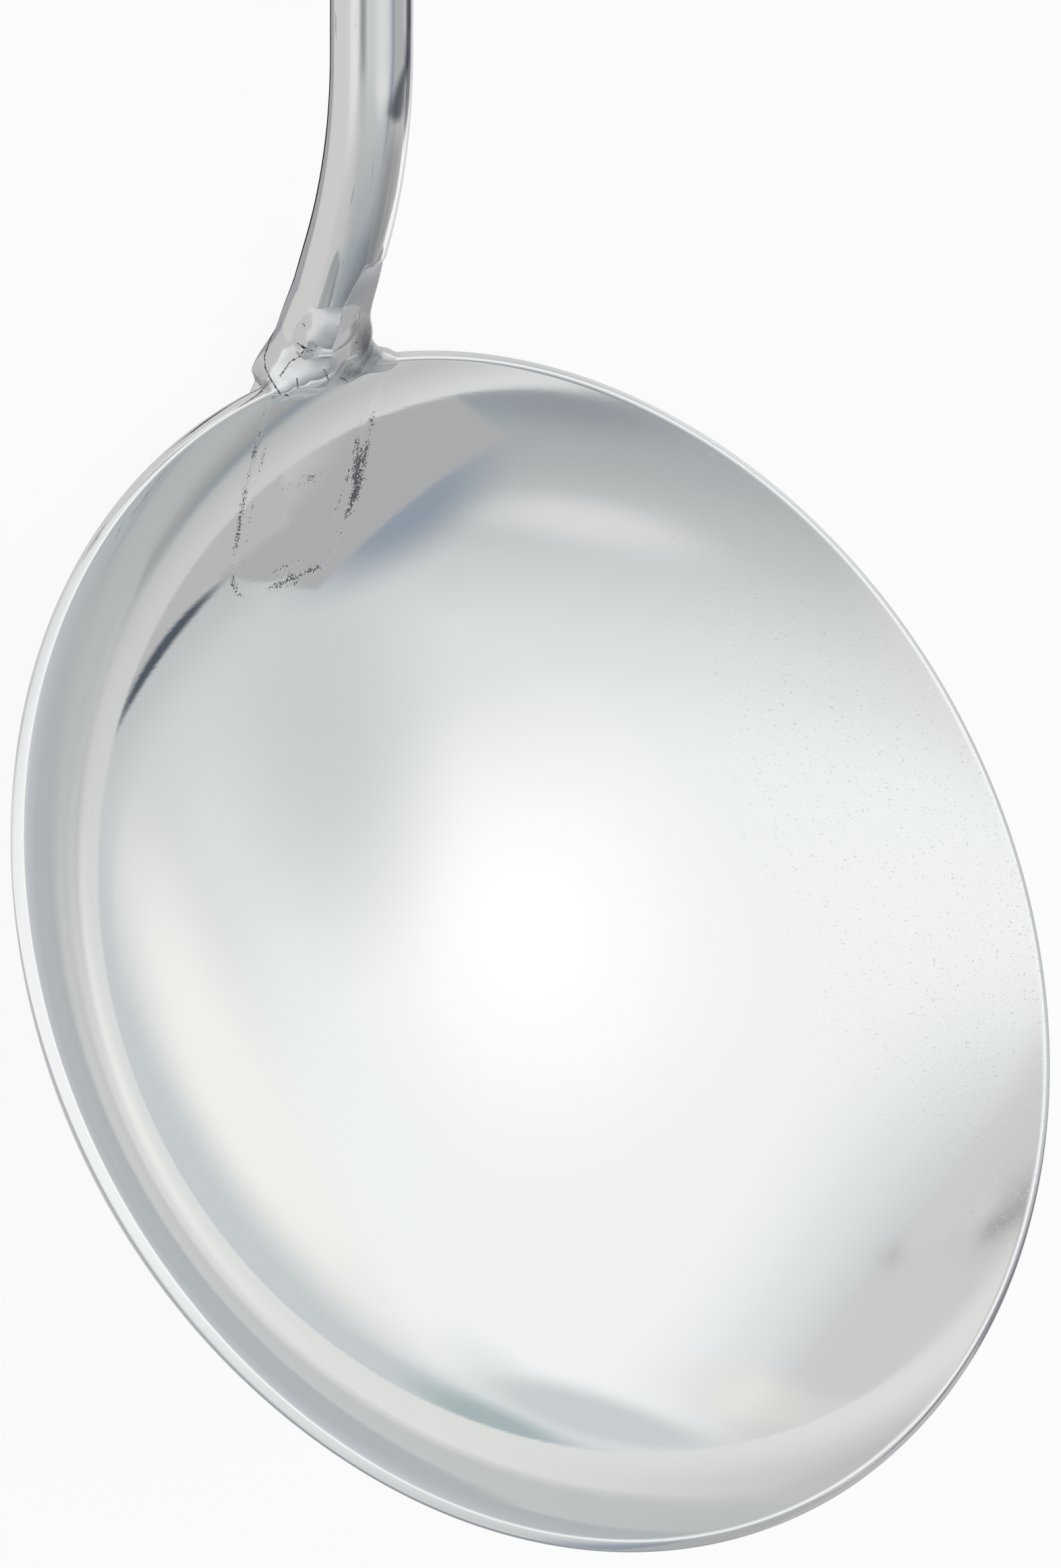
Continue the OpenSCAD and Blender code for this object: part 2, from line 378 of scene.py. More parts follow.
# the smoky streak and the painted reflections, as a share of each point's colour
smokeAndReflection, ground = [addNode(tree, "Attribute", attribute_name=name).outputs["Fac"]
                 for name in ("smokeAndReflection", "ground")]
dull = addNode(tree, "MapRange", [ground, 0.0, 1.0, rodLook["roughness"], rodLook["groundRough"]])
finishSteel(tree, shader, rodLook, height, [(scratch, rodLook["darkColour"]), (smokeAndReflection, rodLook["smokeAndReflectionColour"]),
                                            (ground, rodLook["groundColour"])], dull)

# TIG weld metal, melted smooth and polished over: soft lumps, dark folds on one side where the run froze, and
# hairline cracks and pits that polish can't reach
weldLook = {
    "colour": "#dcdcdc",
    "darkColour": "#2c2826",
    "roughness": 0.09,
    "relief": [((2.0, 2.0, 2.0), 2.0, 0.035)],
    "crackWidth": 0.1,
    "crackInset": 0.08,
    "crackDepth": 0.06,
    "crackRough": 0.6,
    "frayGrain": 0.25,
    "fray": 0.16,
    "foldGrain": (0.9, 0.5, 0.7),
    "foldDepth": 0.22,
    "foldColour": "#65666b",
}
weldMetal, tree, shader, place, height = startSteel("TIG weld metal", weldLook)
crack, fold = [addNode(tree, "Attribute", attribute_name=name).outputs["Fac"]
               for name in ("crack", "crumple")]
frayed = addNode(tree, "Math", [grain(tree, place, (weldLook["frayGrain"],) * 3), -weldLook["fray"], crack],
                 **timesPlus)
dark = addNode(tree, "MapRange", [frayed, -weldLook["crackInset"],
                                  weldLook["crackWidth"] - weldLook["crackInset"], 1.0, 0.0], **smoothly)
dull = addNode(tree, "MapRange", [dark, 0.0, 1.0, weldLook["roughness"], weldLook["crackRough"]])
height = addNode(tree, "Math", [dark, -weldLook["crackDepth"], height], **timesPlus)
folds = addNode(tree, "Math", [grain(tree, place, weldLook["foldGrain"], 1.5), fold], operation="MULTIPLY")
height = addNode(tree, "Math", [folds, weldLook["foldDepth"], height], **timesPlus)
finishSteel(tree, shader, weldLook, height,
            [(dark, weldLook["darkColour"]), (fold, weldLook["foldColour"])], dull)

# Tongue weld: the same metal, dressed with a flap wheel and left satin, so that it shows soft light only
dressedLook = {"colour": "#c8c8c8", "roughness": 0.24, "relief": [((0.5, 0.5, 0.5), 3.0, 0.03)]}
dressedWeld, tree, shader, place, height = startSteel("dressed TIG fillet", dressedLook)
finishSteel(tree, shader, dressedLook, height)

# Satin tube: a fine brushed grain runs along the grip and draws its highlight out into a band
gripLook = {
    "colour": "#c9c9c7",
    "roughness": 0.2,
    "relief": [((9.0, 0.12, 9.0), 3.0, 0.003)],
    "grainLevel": (0.3, 0.7),
    "smoother": 0.04,       # how far the roughness strays either way, with the grain
    "rougher": 0.08,
}
gripSteel, tree, shader, place, height = startSteel("satin 18-8 stainless tube", gripLook)
lines = grain(tree, place, *gripLook["relief"][0][:2])
dull = addNode(tree, "MapRange", [lines, *gripLook["grainLevel"],
                                  gripLook["roughness"] - gripLook["smoother"],
                                  gripLook["roughness"] + gripLook["rougher"]])
finishSteel(tree, shader, gripLook, height, dull=dull)
print("materials done")

# Bowl: a spun and polished sheet, two tangent arcs with a squared and rounded edge


def bowlProfile():
    points = []
    inner, outer = bowl["wallRadius"], wallOut
    for s in np.linspace(0, dishSlope, bowl["dishRings"]):
        points.append((bowl["dishRadius"] * math.sin(s), dishZ - bowl["dishRadius"] * math.cos(s)))
    points[0] = (0.0, points[0][1])
    for s in np.linspace(dishSlope, rimSlope, bowl["wallRings"])[1:]:
        points.append(tuple(onWall(inner, s)))
    across = np.array([math.sin(rimSlope), -math.cos(rimSlope)])
    up = np.array([math.cos(rimSlope), math.sin(rimSlope)])
    shown = bowl["edgeShown"]
    for q, first in ((inner + shown, math.pi), (outer - shown, math.pi / 2)):
        for a in np.linspace(first, first - math.pi / 2, bowl["cornerRings"]):
            points.append(tuple(onWall(q, rimSlope) + (edgeRound - shown) * up
                                + shown * (math.cos(a) * across + math.sin(a) * up)))
    for s in np.linspace(rimSlope, dishSlope, bowl["wallRings"])[1:]:
        points.append(tuple(onWall(outer, s)))
    dishOut = bowl["dishRadius"] + bowl["sheet"]
    for s in np.linspace(dishSlope, 0, bowl["dishRings"])[1:]:
        points.append((dishOut * math.sin(s), dishZ - dishOut * math.cos(s)))
    points[-1] = (0.0, points[-1][1])
    return [p for i, p in enumerate(points) if i == 0 or np.hypot(*np.subtract(p, points[i - 1])) > 1e-6]


points, faces = revolve(bowlProfile(), bowl["turns"])
bowlPiece = buildObject("bowl_polished", points, faces, bowlSteel, "bowl")

# The tongue's outline as it shows through the sheet: across the ladle, and down the wall from the rim. It
# isn't quite straight, for the tongue was welded on a little askew.
imprint = [(6.8, -6), (6.9, 2), (7.1, 8), (7.5, 12), (8.0, 16), (8.8, 19.6), (8.2, 21.4), (6.2, 22.2),
           (3.0, 22.5), (0.0, 22.3), (-3.0, 21.8), (-4.6, 20.4), (-5.7, 18.0), (-7.2, 14.8), (-7.9, 11),
           (-8.0, 7), (-8.0, -6)]
# how strong the streak is beside these places
streakMarks = [((6.9, 2), 1.5, 0.5), ((7.2, 7), 3.0, 0.8), ((7.8, 14), 4.5, 0.95), ((8.8, 20), 3.0, 0.8),
               ((-8.0, 8), 2.4, 0.8), ((-7.9, 11.2), 2.8, 1.2), ((-7.0, 15.0), 3.0, 1.2),
               ((-5.6, 18.4), 1.8, 0.7), ((-1.6, 22.0), 1.8, 1.0), ((1.6, 22.4), 2.4, 1.1),
               ((-4.0, 20.8), 1.2, 0.4)]
# solid dull patches: place, half size across and down the wall, strength
dullPatches = [((-7.3, 12.6), (0.8, 3.6), 1.3), ((1.0, 22.3), (2.6, 0.7), 0.9),
               ((-1.2, 12.4), (4.6, 0.7), 0.45)]


def wallRun(points):
    # distance down the wall from the rim, along the section
    reach = np.hypot(points[:, 0], points[:, 1])
    onDish = reach < wallX + bowl["wallRadius"] * math.sin(dishSlope)
    slope = np.where(onDish, np.arcsin(np.clip(reach / bowl["dishRadius"], 0, 1)),
                     np.arcsin(np.clip((reach - wallX) / bowl["wallRadius"], -1, 1)))
    wallLength = (rimSlope - dishSlope) * bowl["wallRadius"]
    return np.where(onDish, wallLength + (dishSlope - slope) * bowl["dishRadius"],
                    (rimSlope - slope) * bowl["wallRadius"])


def lineDistance(spots, a, b):
    edge, rel = b - a, spots - a
    t = np.clip(rel @ edge / (edge @ edge), 0, 1)
    return np.hypot(*(rel - t[:, None] * edge).T)


def signedDistance(spots, polygon):
    # to a closed polygon, negative inside
    best = np.full(len(spots), 1e9)
    inside = np.zeros(len(spots), bool)
    for a, b in zip(polygon, np.roll(polygon, -1, axis=0)):
        best = np.minimum(best, lineDistance(spots, a, b))
        crosses = (a[1] > spots[:, 1]) != (b[1] > spots[:, 1])
        with np.errstate(divide="ignore", invalid="ignore"):
            x = a[0] + (spots[:, 1] - a[1]) / (b[1] - a[1]) * (b - a)[0]
        inside ^= crosses & (spots[:, 0] < x)
    return np.where(inside, -best, best)


def blots(spots, marks):
    # soft spots, each with its place, half size and strength, laid over each other
    total = np.zeros(len(spots))
    for place, half, value in marks:
        total = np.maximum(total, value * np.exp(-(((spots - place) / half) ** 2).sum(1)))
    return total


def addAttribute(piece, name, values):
    attribute = piece.data.attributes.new(name, "FLOAT", "POINT")
    attribute.data.foreach_set("value", np.asarray(values, np.float32))


innerCount = 1 + (bowl["dishRings"] + bowl["wallRings"] - 2) * bowl["turns"]
spots = np.stack([points[:, 1], wallRun(points)], -1)
distance = signedDistance(spots, np.array(imprint, float))
onInside = (np.arange(len(points)) < innerCount) & (points[:, 0] > 0)
addAttribute(bowlPiece, "imprint", np.where(onInside, np.clip(distance, -9, 9), 9))
addAttribute(bowlPiece, "streak", np.where(onInside, blots(spots, streakMarks), 0))
addAttribute(bowlPiece, "patch", np.where(onInside, blots(spots, dullPatches), 0))

# Handle rod: one bar, its end forged flat and seated on the bowl


def neckSection(s):
    # half width, half thickness, roundness and offset of the forged neck, s from the rim up the rod
    s = np.asarray(s, float)
    ease = 1 - (1 - np.clip(s / rod["forgeRun"], 0, 1)) ** rod["roundFor"]
    flare = (1 - np.clip(s / rod["flareRun"], 0, 1)) ** rod["flareCurve"]
    slim = rodRadius - rod["slimmer"]
    flatOffset = rod["rootOffset"] - tongue["thick"] / 2
    return (slim + (tongue["rimWidth"] / 2 - slim) * flare,
            tongue["thick"] / 2 + (slim - tongue["thick"] / 2) * ease,
            2 + rod["squareAt"] * (1 - ease) ** 2, flatOffset * (1 - ease))


def sectionCurve(power):
    t = np.linspace(0, 2 * math.pi, rod["points"], endpoint=False)
    c, s = np.cos(t), np.sin(t)
    return np.sign(c) * np.abs(c) ** (2 / power), np.sign(s) * np.abs(s) ** (2 / power)


def seatedPoints(y, slope, height):
    # points on the bowl's outer face, raised off it by some height
    reach = wallX + wallOut * np.sin(slope)
    turn = np.arcsin(y / reach)
    radius = wallX + (wallOut + height) * np.sin(slope)
    return np.stack([radius * np.cos(turn), radius * np.sin(turn),
                     wallZ - (wallOut + height) * np.cos(slope) + 0 * turn], -1)


def onRod(p, angle, y, n):
    # points round the axis: y across, n towards the inside of the bowl
    return np.stack([p[0] - n * math.sin(angle), y, p[1] + n * math.cos(angle)], -1)


# Dark streaks along the bar: a smoky streak up the neck, and painted reflections, a thin dark line on the
# handle
# and a dark patch beside it, which stand in for dark things that the bar reflects. Each runs through these
# places:
# distance up the rod from the rim, degrees from the inner side, half width, strength.
smokeAndReflectionStreaks = [
    [(9, 26, 15, 0), (11, 20, 15, 0.35), (14.5, 8, 15, 0.5), (18, 5, 15, 0.5), (22, 3, 15, 0.42),
     (26, 0, 14, 0.35), (28.6, -1, 12, 0.1), (29.2, -1, 12, 0)],
    [(20, 56, 8, 0), (28, 55, 7, 0.12), (33, 54, 5.5, 0.3), (35.5, 53, 5, 0.62), (40, 53, 4.5, 0.68),
     (60, 53, 4.5, 0.5), (90, 53, 4, 0)],
    [(29.2, 0, 8, 0), (29.6, 0, 9, 0.85), (30.4, 2, 15, 0.9), (31.4, -1, 14, 0.9), (32.7, -5, 10, 0.9),
     (34.6, -17, 8, 0.85), (37, -23, 7, 0.8), (60, -24, 6, 0.4), (90, -24, 6, 0)],
]


# how dark the smoky streak and the painted reflections are at each point
def smokeAndReflectionAt(y, n, s):
    total = 0 * y
    for streak in smokeAndReflectionStreaks:
        place, middle, half, strength = np.array(streak, float).T
        off = (np.degrees(np.arctan2(y, n)) - np.interp(s, place, middle)) / np.interp(s, place, half)
        total = np.maximum(total, np.interp(s, place, strength, 0, 0) * np.exp(-np.abs(off) ** 3))
    return total


# A flat was ground on the inner right side of the neck. It starts at once and turns a little.
flat = {
    "from": 14.7,               # where it starts, up the rod from the rim
    "start": 0.5,               # and how soon it is at its full depth
    "to": 9.0,
    "facing": (-27, -3),        # degrees from the inner side, where it starts and at its foot
    "deep": (0.9, 0.62),
    "satinFrom": 0.04,          # cut this deep, the skin is fully satin
}


def overFlat(y, n, s):
    # how far a place stands out over the flat, and the flat's direction
    t = np.clip((flat["from"] - s) / (flat["from"] - flat["to"]), 0, 1)
    facing = np.radians(flat["facing"][0] + (flat["facing"][1] - flat["facing"][0]) * t)
    depth = flat["deep"][0] + (flat["deep"][1] - flat["deep"][0]) * t
    depth = depth * np.clip((flat["from"] - s) / flat["start"], 0, 1)
    depth = np.where(s > flat["from"], -9.0, depth)
    a, b = np.sin(facing), np.cos(facing)
    return y * a + n * b - (rodRadius - rod["slimmer"] - depth), a, b


def flattened(y, n, s):
    over, a, b = overFlat(y, n, s)
    over = np.maximum(over, 0)
    return y - over * a, n - over * b, np.clip(over / flat["satinFrom"], 0, 1)


def rodRings():
    # sections from the tongue's tip to the grip, each with how satin and how smoky its points are
    rows = []
    for d in tongue["run"] * (1 - np.cos(np.linspace(0.02, math.pi / 2, tongue["rings"]))):
        slope = rimSlope - (tongue["run"] - d) / wallOut
        c = tongue["corner"]
        opened = min((tongue["run"] - d) / tongue["widenRun"], 1)
        wider = (tongue["width"] - tongue["rimWidth"]) * math.sin(opened * math.pi / 2)
        halfWidth = (tongue["rimWidth"] + wider) / 2
        if d < c:
            halfWidth += -c + math.sqrt(max(c * c - (c - d) ** 2, 0))
        thick = tongue["thick"] * min(1, (1 - (1 - min(d / tongue["edge"], 1)) ** 2) ** 0.5)
        u, v = sectionCurve(tongue["square"])
        rows.append((seatedPoints(u * halfWidth, slope, thick * (v + 1) / 2), 0 * u, 0 * u))
    rootEnd = rod["forgeRun"] + rod["rootRun"]
    for s in np.linspace(0, rootEnd, rod["neckRings"])[1:]:
        halfWidth, halfThick, power, offset = neckSection(s)
        u, v = sectionCurve(power)
        y, n = u * halfWidth, offset - v * halfThick
        smokeAndReflectionHere = smokeAndReflectionAt(y, n, s)
        y, n, cut = flattened(y, n, s)
        f = min(s / rod["forgeRun"], 1)
        sag = (1 - f) * (bowl["rimDiameter"] / 2 - np.sqrt((bowl["rimDiameter"] / 2) ** 2 - y ** 2))
        ring = onRod(along(root, rootAngle, s), rootAngle, y, n)
        # the first few sections turn from the wall's slope to the rod's
        turned = onRod(along(root, rimSlope, s), rimSlope, y, n)
        ring = turned * (1 - f) ** 2 + ring * (1 - (1 - f) ** 2)
        ring[:, 0] -= sag
        rows.append((ring, cut, smokeAndReflectionHere))
    u, v = sectionCurve(2)
    slim = rodRadius - rod["slimmer"]
    stations = []
    for a in np.linspace(rootAngle, handleAngle, rod["bendRings"])[1:]:
        p = bendCentre + rod["bendRadius"] * np.array([math.cos(a + math.pi / 2), math.sin(a + math.pi / 2)])
        stations.append((p, a, rootEnd + rod["bendRadius"] * (rootAngle - a)))
    bendLast = stations[-1][2]
    for s in np.linspace(0, rod["neckRun"] + grip["nose"] + rod["engage"], rod["straightRings"])[1:]:
        stations.append((along(bendEnd, handleAngle, s), handleAngle, bendLast + s))
    for p, angle, s in stations:
        rows.append((onRod(p, angle, u * slim, -v * slim), 0 * u, smokeAndReflectionAt(u, -v, s)))
    return rows


rings, ground, smokeAndReflection = zip(*rodRings())
points = np.concatenate([*rings, rings[0].mean(0)[None], rings[-1].mean(0)[None]])
size = rod["points"]
faces = joinRings(len(rings), size)
last = (len(rings) - 1) * size
faces += [(len(points) - 2, (j + 1) % size, j) for j in range(size)]
faces += [(len(points) - 1, last + j, last + (j + 1) % size) for j in range(size)]
rodPiece = buildObject("handle_rod_forged", points, faces, rodSteel, "handle_rod")
addAttribute(rodPiece, "ground", np.concatenate([*ground, [0, 0]]))
addAttribute(rodPiece, "smokeAndReflection", np.concatenate([*smokeAndReflection, [0, 0]]))

# Rim weld: worked out as a field of distances in the rod's frame (s up the rod from the rim, y across, n
# towards the inside of the bowl), so that its lumps flow into each other and into the rod and the wall
bead = {
    # flat-topped swellings of the rod's skin: place up the rod and round it in mm, half sizes, height
    "lobes": [(5.7, 1.7, 3.9, 3.9, 0.62), (4.4, -2.2, 3.0, 2.4, 0.45), (2.0, 6.4, 2.2, 2.6, 0.15)],
    "sunk": 0.5,            # how deep a lobe's middle lies in the rod
    # melted run along the rim and the fillets at its ends: s, y, n, radius
    "run": [(-0.2, 5.4, 1.5, 0.75), (0.4, 4.0, 1.7, 1.3), (1.4, 2.6, 2.1, 1.8), (2.7, 1.3, 2.35, 2.1),
            (0.3, 1.2, 1.9, 1.9), (0.4, -1.2, 1.9, 1.7), (0.4, -3.3, 1.75, 1.4), (3.2, -1.9, 1.9, 2.0),
            (4.8, -1.8, 1.6, 2.0), (2.0, -4.1, 1.5, 1.5), (0.8, -5.8, 1.3, 1.0), (0.05, -7.4, 1.3, 0.65),
            (-0.35, -8.6, 1.3, 0.35)],
    "melt": 1.5,            # how far the run flows together
    "crease": 0.35,         # lobes meet in shallow creases
    "join": 0.7,            # and sink into the run
    "filletTop": 0.3,       # fillet against the rod at the top, and against the rim and wall
    "filletFoot": 1.1,
    "filletFrom": (4.5, 0.5),   # up the rod, from the one to the other
    "skin": 0.012,          # drawn this much thinner or thicker than the field, to lie clear of the rod
    "root": 0.3,            # how deep it goes on inside the metal that it joins
    "spread": 1.6,          # how far from the bead its fillets may run
    "step": 0.14,           # grid of the field
    "reach": ((-3.2, 11.2), (-10.4, 7.4), (-4.8, 6.6)),
    "ripple": 0.015,
    # hairlines and pits left open, as seen from the inner side: right of the root and down from it, in mm
    "rightward": (0.233, -0.760, 0.606),
    "downward": (-0.796, 0.214, 0.566),
    "cracks": [[(-1.45, -1.95), (-0.9, -1.65), (-0.3, -1.3), (0.3, -1.15)], [(-1.1, -1.7), (-0.3, -1.05)],
               [(-0.85, -1.2), (-1.25, -0.65), (-2.1, -0.2), (-3.1, 1.2)], [(-1.5, 1.4), (-1.4, 2.3)],
               [(1.1, 0.55), (1.35, 1.0), (1.6, 1.7)], [(4.2, -2.1), (4.35, -1.9)],
               [(-2.6, 3.0), (-2.3, 3.1)], [(2.7, 1.4), (3.1, 1.5), (3.4, 1.75)],
               [(-0.95, -3.9), (-0.7, -3.6)],
               [(-3.3, -3.95), (-4.1, -2.2), (-4.6, -0.7), (-4.55, 0.4), (-4.1, 1.35), (-3.1, 2.9)]],
    # where it froze in dark folds: place, half size, strength
    "folds": [((5.3, -1.4), (1.1, 2.6), 0.9), ((4.2, 1.0), (2.0, 0.9), 0.7), ((-5.2, 2.6), (0.9, 1.6), 0.6)],
}


def smoothMin(a, b, k):
    h = np.clip(0.5 + 0.5 * (b - a) / k, 0, 1)
    return b + (a - b) * h - k * h * (1 - h)


def rodDistance(s, y, n):
    halfWidth, halfThick, power, offset = neckSection(s)
    u, v = np.abs(y) / halfWidth, np.abs(n - offset) / halfThick
    skin = ((u ** power + v ** power) ** (1 / power) - 1) * np.minimum(halfWidth, halfThick)
    return np.maximum(skin, overFlat(y, n, s)[0])


def fromWeldFrame(s, y, n):
    upRod = np.stack([s * math.cos(rootAngle), 0 * s, s * math.sin(rootAngle)], -1)
    return onRod(root, rootAngle, y, n) + upRod


def wallDistance(p):
    reach = np.hypot(p[..., 0], p[..., 1]) - wallX
    rise = p[..., 2] - wallZ
    q = np.hypot(reach, rise)
    slope = np.arctan2(reach, -rise)
    middle = bowl["wallRadius"] + bowl["sheet"] / 2
    sheet = np.abs(q - middle) - bowl["sheet"] / 2
    across = reach * math.sin(rimSlope) - rise * math.cos(rimSlope) - middle
    upward = reach * math.cos(rimSlope) + rise * math.sin(rimSlope)
    dx = np.abs(across) - (bowl["sheet"] / 2 - edgeRound)
    outside = np.hypot(np.maximum(dx, 0), np.maximum(upward, 0))
    edge = outside + np.minimum(np.maximum(dx, upward), 0) - edgeRound
    return np.where(slope < rimSlope, sheet, edge)


rng = np.random.default_rng(7)
waves = [(rng.normal(size=3) * k, rng.uniform(0, 6.28), 1 / k) for k in (1.1, 1.4, 1.8, 2.3, 2.9)]


def beadDistance(s, y, n):
    skin, turn = rodDistance(s, y, n), rodRadius * np.arctan2(y, n)
    lobes = run = None
    for upRod, around, halfUp, halfAround, rise in bead["lobes"]:
        deep = rise + bead["sunk"]
        flatways = ((s - upRod) / halfUp) ** 2 + ((turn - around) / halfAround) ** 2
        d = np.sqrt(flatways ** 1.25 + ((skin + bead["sunk"]) / deep) ** 2)
        d = (d - 1) * deep
        lobes = d if lobes is None else smoothMin(lobes, d, bead["crease"])
    for cs, cy, cn, radius in bead["run"]:
        d = np.sqrt((s - cs) ** 2 + (y - cy) ** 2 + (n - cn) ** 2) - radius
        run = d if run is None else smoothMin(run, d, bead["melt"])
    total = smoothMin(lobes, run, bead["join"])
    for w, phase, size in waves:
        total = total + bead["ripple"] * size * np.sin(w[0] * s + w[1] * y + w[2] * n + phase)
    return total


def weldDistance(s, y, n):
    p = fromWeldFrame(s, y, n)
    base = np.minimum(rodDistance(s, y, n), wallDistance(p))
    top, low = bead["filletFrom"]
    foot = np.clip((top - s) / (top - low), 0, 1)
    k = bead["filletTop"] + (bead["filletFoot"] - bead["filletTop"]) * foot * foot * (3 - 2 * foot)
    return smoothMin(beadDistance(s, y, n), base, k), base


def surfaceNet(field, lows, step):
    # one point in each cell that the surface crosses, joined across the grid's edges
    shape = np.array(field.shape) - 1
    total, count = np.zeros((*shape, 3)), np.zeros(shape)
    for axis in range(3):
        for a, b in ((0, 0), (0, 1), (1, 0), (1, 1)):
            start, end = np.insert([a, b], axis, 0), np.insert([a, b], axis, 1)
            f0, f1 = [field[tuple(map(slice, c, c + shape))] for c in (start, end)]
            cross = (f0 < 0) != (f1 < 0)
            t = np.where(cross, f0 / np.where(cross, f0 - f1, 1), 0)
            total += np.where(cross[..., None], start + t[..., None] * (end - start), 0)
            count += cross
    used = count > 0
    index = np.full(shape, -1)
    index[used] = np.arange(used.sum())
    points = (np.argwhere(used) + total[used] / count[used][:, None]) * step + lows
    faces = []
    for axis in range(3):
        others = [k for k in range(3) if k != axis]
        upward = np.eye(3, dtype=int)[axis]
        f0, f1 = [field[tuple(map(slice, 1 - upward + up, shape + up))] for up in (0, upward)]
        at = np.argwhere((f0 < 0) != (f1 < 0))
        rising = (f0 < 0)[tuple(at.T)] != (axis == 1)
        quad = []
        for cellsBack in ((0, 0), (1, 0), (1, 1), (0, 1)):
            cell = at + 1 - upward
            cell[:, others] -= cellsBack
            quad.append(index[tuple(cell.T)])
        quad = np.stack(quad, -1)
        quad[~rising] = quad[~rising][:, ::-1]
        faces.append(quad)
    return points, np.concatenate(faces)


grid = [np.arange(low, high, bead["step"]) for low, high in bead["reach"]]
s, y, n = np.meshgrid(*grid, indexing="ij")
blended, base = weldDistance(s, y, n)
solid = np.maximum(blended + bead["skin"], -(base + bead["root"]))
solid = np.maximum(solid, beadDistance(s, y, n) - bead["spread"])
solid[[0, -1]] = solid[:, [0, -1]] = solid[:, :, [0, -1]] = 1.0
spots, quads = surfaceNet(solid, np.array([g[0] for g in grid]), bead["step"])
weldPiece = buildObject("rim_weld_bead", fromWeldFrame(*spots.T), quads.tolist(), weldMetal,
                        "rim_weld")

# smooth shading from the field itself
h = 0.02
slopes = np.stack([weldDistance(*(spots + h * e).T)[0] - weldDistance(*(spots - h * e).T)[0]
                   for e in np.eye(3)], -1)
slopes /= np.linalg.norm(slopes, axis=1)[:, None]
facing = onTable(fromWeldFrame(*(spots + slopes).T)) - onTable(fromWeldFrame(*spots.T))
facing /= np.linalg.norm(facing, axis=1)[:, None]
outer = np.abs(weldDistance(*spots.T)[0] + bead["skin"]) < 0.08
meshNormals = np.zeros(len(spots) * 3, np.float32)
weldPiece.data.vertex_normals.foreach_get("vector", meshNormals)
meshNormals = meshNormals.reshape(-1, 3)
if np.median((meshNormals[outer] * facing[outer]).sum(1)) < 0:
    weldPiece.data.flip_normals()
    meshNormals = -meshNormals
weldPiece.data.normals_split_custom_set_from_vertices(np.where(outer[:, None], facing, meshNormals).tolist())

seen = np.stack([spots @ bead["rightward"], spots @ bead["downward"]], -1)
distance = np.full(len(spots), 9.0)
for line in bead["cracks"]:
    for a, b in zip(np.array(line[:-1]), np.array(line[1:])):
        distance = np.minimum(distance, lineDistance(seen, a, b))
outward = np.cross(bead["rightward"], bead["downward"])
outward *= np.sign(outward[2])
addAttribute(weldPiece, "crack", np.where(slopes @ outward > 0.1, distance, 9.0))
addAttribute(weldPiece, "crumple", blots(seen, bead["folds"]))

# Tongue weld: a dressed fillet round the edge of the tongue, on the outside of the bowl
fillet = {
    "leg": 1.8,
    "rise": 1.2,
    "under": 0.1,           # how far it lies inside the metal that it joins
    "steps": 220,
    "ripple": 0.05,
    "pitch": 1.1,
}


def tongueEdge(t):
    # a place on the tongue's outline and the way out from it, t from 0 to 1: a side, the tip, the other side
    if t > 0.5:
        (y, run), (outY, outRun) = tongueEdge(1 - t)
        return (-y, run), (-outY, outRun)
    half, c = tongue["width"] / 2, tongue["corner"]
    side, arc = tongue["run"] - c - fillet["leg"], c * math.pi / 2
    d = t * 2 * (side + arc + half - c)
    if d < side:
        return (-half, fillet["leg"] + d), (-1, 0)
    d -= side
    if d < arc:
        a = d / c
        return (-half + c - c * math.cos(a), tongue["run"] - c + c * math.sin(a)), (-math.cos(a), math.sin(a))
    return (-half + c + d - arc, tongue["run"]), (0, 1)


under = fillet["under"]
section = [(-under + (1 + under) * math.sin(a), math.cos(a) ** 0.9) for a in np.linspace(0, math.pi / 2, 10)]
section = [(-under, 0)] + section + [(0.5, 0)]
rings = []
for i, t in enumerate(np.linspace(0, 1, fillet["steps"])):
    (y0, run0), (outY, outRun) = tongueEdge(t)
    swell = 1 + fillet["ripple"] * math.sin(2 * math.pi * i / fillet["steps"] * 62 / fillet["pitch"])
    end = min(i, fillet["steps"] - 1 - i) / 6
    shrink = min(1, math.sqrt(max(end, 0.02)))
    ring = []
    for a, h in section:
        leg = a * fillet["leg"] * swell * shrink
        height = h * fillet["rise"] * swell * shrink if h else -under
        y1, run1 = y0 + outY * leg, run0 + outRun * leg
        ring.append(seatedPoints(np.array(y1), np.array(rimSlope - run1 / wallOut), height))
    rings.append(np.array(ring))
size = len(section)
faces = joinRings(len(rings), size)
last = (len(rings) - 1) * size
faces += [tuple(range(size))[::-1], tuple(range(last, last + size))]
buildObject("tongue_weld_fillet", np.concatenate(rings), faces, dressedWeld, "tongue_weld")

# Grip: a drawn tube swaged on to the rod, with a pressed cap and a drilled hanging hole


def onGrip(points, start):
    # turns a shape drawn up the z axis on to the handle's axis
    x, y, z = np.asarray(points).T
    return np.stack([start[0] + z * math.cos(handleAngle) - x * math.sin(handleAngle), y,
                     start[1] + z * math.sin(handleAngle) + x * math.cos(handleAngle)], -1)


def rounded(corners, radius, steps=6):
    # rounds the corners of a closed profile; each corner may carry its own radius
    out = []
    for i, corner in enumerate(corners):
        p = np.array(corner[:2], float)
        r = corner[2] if len(corner) > 2 else radius
        before = np.array(corners[i - 1][:2], float) - p
        after = np.array(corners[(i + 1) % len(corners)][:2], float) - p
        cut = min(r, np.linalg.norm(before) / 2.2, np.linalg.norm(after) / 2.2)
        a, b = p + before / np.linalg.norm(before) * cut, p + after / np.linalg.norm(after) * cut
        for t in np.linspace(0, 1, steps):
            out.append((1 - t) ** 2 * a + 2 * t * (1 - t) * p + t * t * b)
    return out


